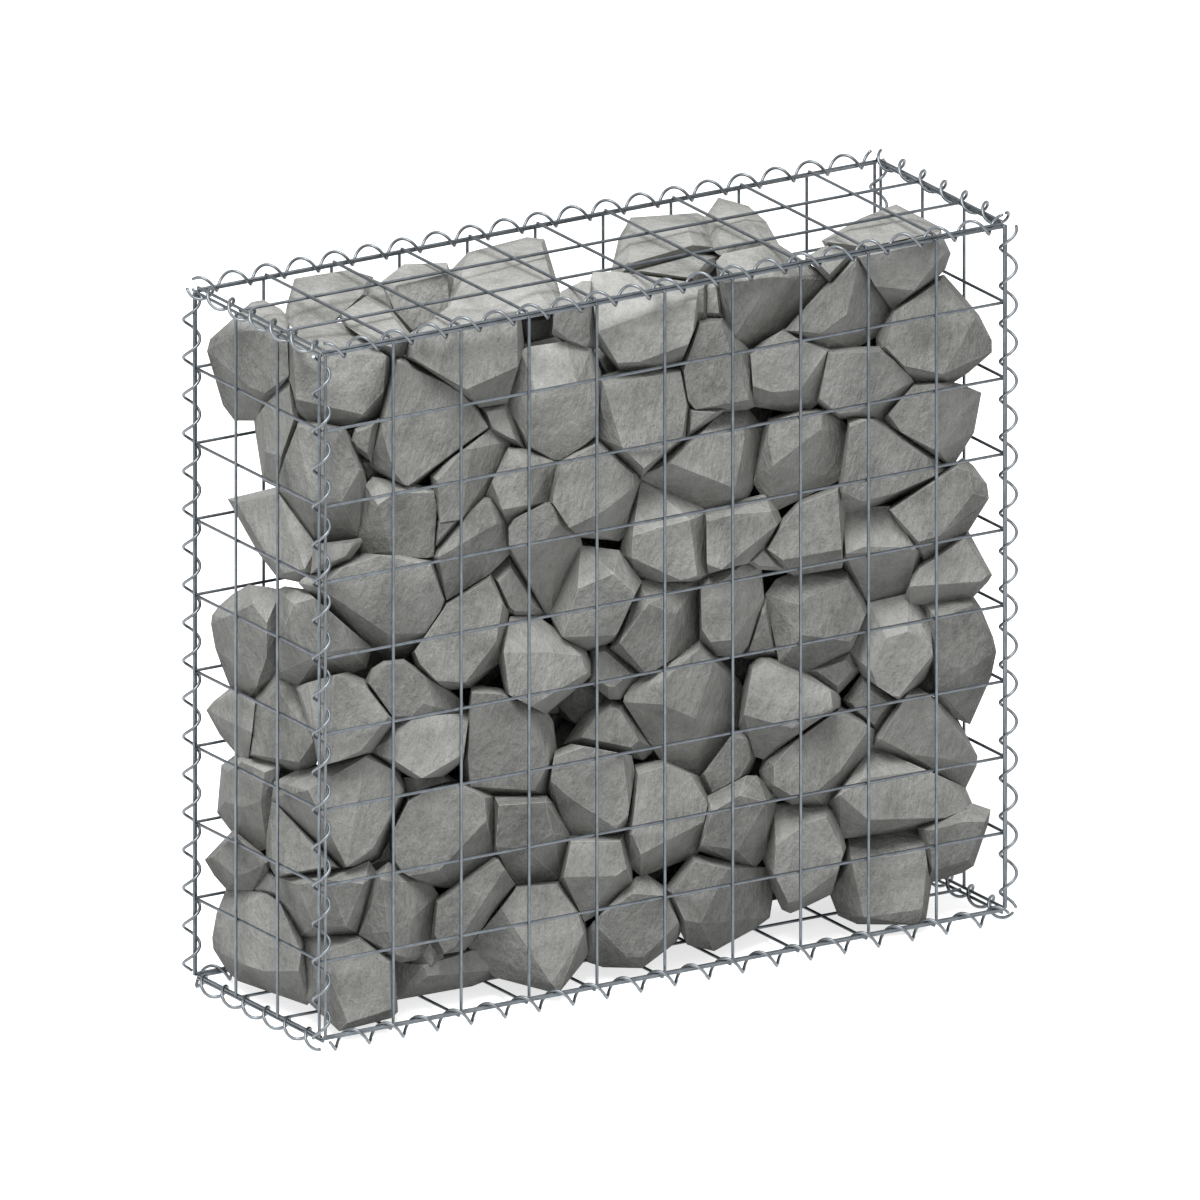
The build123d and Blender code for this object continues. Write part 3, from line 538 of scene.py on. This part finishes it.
@dataclass
class StoneRow:
    """One row of split stones: the solids of its node, bedded against each other, with chipped edges that
    are marked for a painted highlight.
    """

    node: str
    seed: int
    layer: Way
    bedding: float = 3.2 * MM
    end_zone: float = 12 * MM
    chip: float = 1.3 * MM
    chip_steps: int = 2
    flat_angle: float = radians(3)
    edge_angle: float = radians(12)
    tone_spread: float = 0.07
    merge_gap: float = 0.02 * MM

    def build(self) -> bmesh.types.BMesh:
        """Merge the solids' triangles to flat facets, chip the edges, mark them for the painted highlight
        and tint each stone.
        """
        shape = bmesh.new()
        shape.from_mesh(bpy.data.objects[self.node].data)
        bmesh.ops.remove_doubles(shape, verts=shape.verts[:], dist=self.merge_gap)
        bmesh.ops.dissolve_limit(
            shape, angle_limit=self.flat_angle, verts=shape.verts[:], edges=shape.edges[:]
        )
        self.bed(shape)
        sharp = [
            edge for edge in shape.edges if edge.is_manifold and edge.calc_face_angle() > self.edge_angle
        ]
        chip_and_highlight = shape.faces.layers.float.new("chip_and_highlight")
        tone = shape.faces.layers.float.new("tone")
        highlit_chips = bmesh.ops.bevel(
            shape,
            geom=sharp,
            offset=self.chip,
            affect="EDGES",
            segments=self.chip_steps,
            profile=ROUND,
            material=-1,
            clamp_overlap=True,
        )
        # Painted highlight: the chipped faces are marked to be painted paler, for light on the edges and for
        # fresh chips
        for face in highlit_chips["faces"]:
            face[chip_and_highlight] = 1.0
        chance = random.Random(self.seed)
        for stone in stones_of(shape):
            shade = chance.uniform(-self.tone_spread, self.tone_spread)
            for face in stone:
                face[tone] = shade
        return shape

    def bed(self, shape: bmesh.types.BMesh) -> None:
        """Widen each stone within its layer, so that the seams between stones close.

        A stone at the right or back end of its row only grows inwards, so the outline there stays.

        Args:
            shape: The row's bmesh.
        """
        _, row_high = box_of(shape.verts[:])
        for stone in stones_of(shape):
            verts = list({vert for face in stone for vert in face.verts})
            growth = []
            pivot = []
            for i, (low, high) in enumerate(zip(*box_of(verts))):
                growth.append(1 + 2 * self.bedding / (high - low) * (1 - self.layer.value[i]))
                at_end = Way.UP.value[i] == 0 and high > row_high[i] - self.end_zone
                pivot.append(high if at_end else (low + high) / 2)
            bmesh.ops.scale(shape, vec=growth, space=Matrix.Translation(-Vector(pivot)), verts=verts)

    def dress(self, look: bpy.types.Material) -> None:
        """Make the row's piece."""
        finish_piece(self.build(), self.node + "_chipped", self.node, look)


# The core's stones lie on a grid between these two places
CORE_FIRST = Vector((-0.27, 0.0, 0.12))
CORE_LAST = Vector((0.45, 0.0, 0.76))

# Chinks that daylight would pass through, each with the radius of the small stone in it
CHINKS = {
    (-0.40, 0.10, 0.28): 54 * MM,
    (-0.42, 0.10, 0.17): 54 * MM,
    (-0.33, 0.05, 0.735): 54 * MM,
    (-0.385, 0.085, 0.751): 32 * MM,
    (-0.332, 0.05, 0.569): 30 * MM,
    (-0.40, 0.06, 0.079): 30 * MM,
    (-0.305, -0.08, 0.079): 26 * MM,
    (-0.239, 0.08, 0.81): 28 * MM,
    (0.221, 0.09, 0.834): 28 * MM,
    (0.443, -0.08, 0.311): 26 * MM,
}


@dataclass
class CoreRubble:
    """Small stones in the heart of the basket, which only show as dark backs between the others; they are
    tinted darker as painted shade.
    """

    seed: int = 5
    pitch: float = 80 * MM
    radius: float = 54 * MM
    stray_share: float = 0.26
    least_share: float = 0.8
    most_share: float = 1.05
    # Painted shade: a fixed darker tone for the stones deep in the basket
    shade: float = -0.1

    def build(self) -> bmesh.types.BMesh:
        """Scatter rough stones over the middle plane and in the chinks."""
        shape = bmesh.new()
        tone = shape.faces.layers.float.new("tone")
        # The layer for the painted edge highlight stays empty on the core's stones
        shape.faces.layers.float.new("chip_and_highlight")
        chance = random.Random(self.seed)
        across = round((CORE_LAST.x - CORE_FIRST.x) / self.pitch)
        upward = round((CORE_LAST.z - CORE_FIRST.z) / self.pitch)
        steps = [Vector((i, 0, j)) for i in range(across + 1) for j in range(upward + 1)]
        stones = [(CORE_FIRST + step * self.pitch, self.radius) for step in steps]
        stones += [(Vector(place), radius) for place, radius in CHINKS.items()]
        for place, radius in stones:
            stray = Vector(chance.uniform(-1, 1) for _ in range(3)) * self.stray_share * radius
            turn = Matrix.Rotation(chance.uniform(0, 2 * pi), 4, stray.normalized())
            shares = [chance.uniform(self.least_share, self.most_share) for _ in range(3)]
            spot = Matrix.Translation(place + stray) @ turn @ Matrix.Diagonal((*shares, 1.0))
            bmesh.ops.create_icosphere(shape, subdivisions=1, radius=radius, matrix=spot)
        # Every core stone gets the darker tone of painted shade
        for face in shape.faces:
            face[tone] = self.shade
        return shape

    def dress(self, look: bpy.types.Material) -> None:
        """Make the rubble's piece."""
        finish_piece(self.build(), "core_rubble", None, look)


@dataclass
class Basket:
    """The six panels and twelve spirals of the basket.

    The offsets run from the basket's faces out to the middles of the wires: level and upright wires on the
    sides and ends, lengthwise and crosswise wires on the base and the lid.
    """

    level_offset: float = 2.8 * MM
    upright_offset: float = 5.6 * MM
    lengthwise_offset: float = 3.2 * MM
    crosswise_offset: float = 6.0 * MM

    def panels(self) -> list[MeshPanel]:
        """Lay out the six panels."""
        middle = (BASE_LEVEL + TOP_LEVEL) / 2
        tall, long, deep = (size + 2 * OVERHANG for size in (HEIGHT, LENGTH, DEPTH))
        along, back, up = (way.vector * PITCH for way in Way)
        made = []
        for node, side in (("front_panel", -1), ("back_panel", 1)):
            outer = side * (DEPTH / 2 + self.upright_offset)
            inner = side * (DEPTH / 2 + self.level_offset)
            uprights = WireLayer(Way.UP, Vector((-LENGTH / 2, outer, middle)), along, LENGTH_WIRES, tall)
            levels = WireLayer(Way.ALONG, Vector((0, inner, BASE_LEVEL)), up, HEIGHT_WIRES, long)
            made.append(MeshPanel(node, (uprights, levels)))
        for node, side in (("left_end_panel", -1), ("right_end_panel", 1)):
            outer = side * (LENGTH / 2 + self.upright_offset)
            inner = side * (LENGTH / 2 + self.level_offset)
            uprights = WireLayer(Way.UP, Vector((outer, -DEPTH / 2, middle)), back, DEPTH_WIRES, tall)
            levels = WireLayer(Way.BACK, Vector((inner, 0, BASE_LEVEL)), up, HEIGHT_WIRES, deep)
            made.append(MeshPanel(node, (uprights, levels)))
        for node, level, side in (("base_panel", BASE_LEVEL, -1), ("lid_panel", TOP_LEVEL, 1)):
            inner = level + side * self.lengthwise_offset
            outer = level + side * self.crosswise_offset
            lengthwise = WireLayer(Way.ALONG, Vector((0, -DEPTH / 2, inner)), back, DEPTH_WIRES, long)
            crosswise = WireLayer(Way.BACK, Vector((-LENGTH / 2, 0, outer)), along, LENGTH_WIRES, deep)
            made.append(MeshPanel(node, (lengthwise, crosswise)))
        return made

    def spirals(self) -> list[LacingSpiral]:
        """Lay out the twelve spirals, each with the angle of its cut end."""
        made = []
        for node, side, rise, angle in (
            ("front_top_spiral", -1, 1, 70),
            ("back_top_spiral", 1, 1, 41),
            ("front_base_spiral", -1, -1, 160),
            ("back_base_spiral", 1, -1, 262),
        ):
            level = (TOP_LEVEL if rise > 0 else BASE_LEVEL) + rise * SPIRAL_OFFSET
            start = Vector((-LENGTH / 2, side * (DEPTH / 2 + SPIRAL_OFFSET), level))
            first = Vector((0, cos(radians(angle)), sin(radians(angle))))
            made.append(LacingSpiral(node, start, Way.ALONG, first, LENGTH))
        for node, side, rise, angle in (
            ("left_top_spiral", -1, 1, 281),
            ("right_top_spiral", 1, 1, 0),
            ("left_base_spiral", -1, -1, 167),
            ("right_base_spiral", 1, -1, 106),
        ):
            level = (TOP_LEVEL if rise > 0 else BASE_LEVEL) + rise * SPIRAL_OFFSET
            start = Vector((side * (LENGTH / 2 + SPIRAL_OFFSET), -DEPTH / 2, level))
            first = Vector((sin(radians(angle)), 0, cos(radians(angle))))
            made.append(LacingSpiral(node, start, Way.BACK, first, DEPTH))
        for node, across, side, angle in (
            ("front_left_corner_spiral", -1, -1, 138),
            ("front_right_corner_spiral", 1, -1, 351),
            ("back_left_corner_spiral", -1, 1, 55),
            ("back_right_corner_spiral", 1, 1, 31),
        ):
            corner_x = across * (LENGTH / 2 + SPIRAL_OFFSET)
            corner_y = side * (DEPTH / 2 + SPIRAL_OFFSET)
            first = Vector((cos(radians(angle)), sin(radians(angle)), 0))
            made.append(LacingSpiral(node, Vector((corner_x, corner_y, BASE_LEVEL)), Way.UP, first, HEIGHT))
        return made

    def dress(self) -> None:
        """Make every panel and spiral."""
        mesh_look = MESH_STEEL.material()
        spiral_look = SPIRAL_STEEL.material()
        for panel in self.panels():
            panel.dress(mesh_look)
        for spiral in self.spirals():
            spiral.dress(spiral_look)


@dataclass
class StoneFill:
    """All the stones in the basket."""

    nodes: list[str]

    def dress(self) -> None:
        """Make every row of stones and the core."""
        look = CRUSHED_STONE.material()
        layers = {"left_stones": Way.ALONG, "top_stones": Way.UP}
        for number, node in enumerate(self.nodes):
            StoneRow(node, number, layers.get(node, Way.BACK)).dress(look)
        CoreRubble().dress(look)


@dataclass
class Studio:
    """A white sweep, soft light from the upper left and a camera at the photograph's angle."""

    azimuth: float = radians(-31.54)
    elevation: float = radians(18.0)
    frame_width: float = 1.5064
    distance: float = 6.0
    clip_end: float = 50.0
    floor_size: float = 40.0
    floor_white: str = "#f4f4f4"
    floor_dim: str = "#a0a0a0"
    floor_glow: float = 0.72
    sky_light: float = 0.66
    key_place: tuple[float, float, float] = (-2.1, -1.9, 5.1)
    key_size: float = 2.4
    key_power: float = 340.0

    def build(self) -> None:
        """Set up the floor, the light and the camera."""
        bpy.context.scene.view_settings.view_transform = "Standard"
        self.add_floor()
        self.add_world()
        self.add_lamp("Key light", Vector(self.key_place), self.key_size, self.key_power)
        self.add_camera()

    def add_floor(self) -> None:
        """Lay a white floor that shows the shadow."""
        shape = bmesh.new()
        bmesh.ops.create_grid(shape, x_segments=1, y_segments=1, size=self.floor_size / 2)
        mesh = bpy.data.meshes.new("floor")
        shape.to_mesh(mesh)
        shape.free()
        paint = bpy.data.materials.new("White studio floor")
        paint.use_nodes = True
        tree = paint.node_tree
        tree.nodes.remove(tree.nodes["Principled BSDF"])
        # Where it is seen it is white and keeps the shadow; towards the stones it throws less light back
        white = add_node(tree, "BsdfDiffuse", values={"Color": linear(self.floor_white)})
        glow = add_node(tree, "Emission", values={"Strength": self.floor_glow})
        shown = add_node(tree, "AddShader", links={0: white.outputs[0], 1: glow.outputs[0]})
        dim = add_node(tree, "BsdfDiffuse", values={"Color": linear(self.floor_dim)})
        both = add_node(
            tree,
            "MixShader",
            links={0: seen_directly(tree), 1: dim.outputs[0], 2: shown.outputs[0]},
        )
        tree.links.new(both.outputs[0], tree.nodes["Material Output"].inputs["Surface"])
        mesh.materials.append(paint)
        floor = bpy.data.objects.new("floor", mesh)
        bpy.context.scene.collection.objects.link(floor)

    def add_world(self) -> None:
        """Surround the scene with soft light, which looks white where it is seen."""
        world = bpy.data.worlds.new("White sweep")
        bpy.context.scene.world = world
        world.use_nodes = True
        tree = world.node_tree
        strength = add_node(
            tree,
            "MapRange",
            values={"To Min": self.sky_light, "To Max": 1.0},
            links={"Value": seen_directly(tree)},
        )
        tree.links.new(strength.outputs["Result"], tree.nodes["Background"].inputs["Strength"])
        tree.nodes["Background"].inputs["Color"].default_value = linear("#ffffff")

    def add_lamp(self, name: str, place: Vector, size: float, power: float) -> None:
        """Hang one square soft light that faces the basket.

        Args:
            name: The lamp's name.
            place: Where it hangs.
            size: The width of its square.
            power: Its power in watts.
        """
        data = bpy.data.lights.new(name, "AREA")
        data.size = size
        data.energy = power
        lamp = bpy.data.objects.new(name, data)
        lamp.location = place
        lamp.rotation_euler = (self.centre() - place).to_track_quat("-Z", "Y").to_euler()
        bpy.context.scene.collection.objects.link(lamp)

    def centre(self) -> Vector:
        """The middle of the basket."""
        return Vector((0, 0, (BASE_LEVEL + TOP_LEVEL) / 2))

    def add_camera(self) -> None:
        """Stand a parallel-view camera at the photograph's angle."""
        away = Vector(
            (
                sin(self.azimuth) * cos(self.elevation),
                -cos(self.azimuth) * cos(self.elevation),
                sin(self.elevation),
            )
        )
        data = bpy.data.cameras.new("Camera")
        data.type = "ORTHO"
        data.ortho_scale = self.frame_width
        data.clip_end = self.clip_end
        camera = bpy.data.objects.new("Camera", data)
        camera.location = self.centre() + away * self.distance
        camera.rotation_euler = (-away).to_track_quat("-Z", "Y").to_euler()
        bpy.context.scene.collection.objects.link(camera)
        bpy.context.scene.camera = camera


def main() -> None:
    """Build the whole scene."""
    logging.basicConfig(level=logging.INFO, format="%(name)s %(message)s")
    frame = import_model()
    Studio().build()
    Basket().dress()
    StoneFill(sorted(node for node in frame["nodes"] if "stones" in node)).dress()


if __name__ == "__main__":
    main()
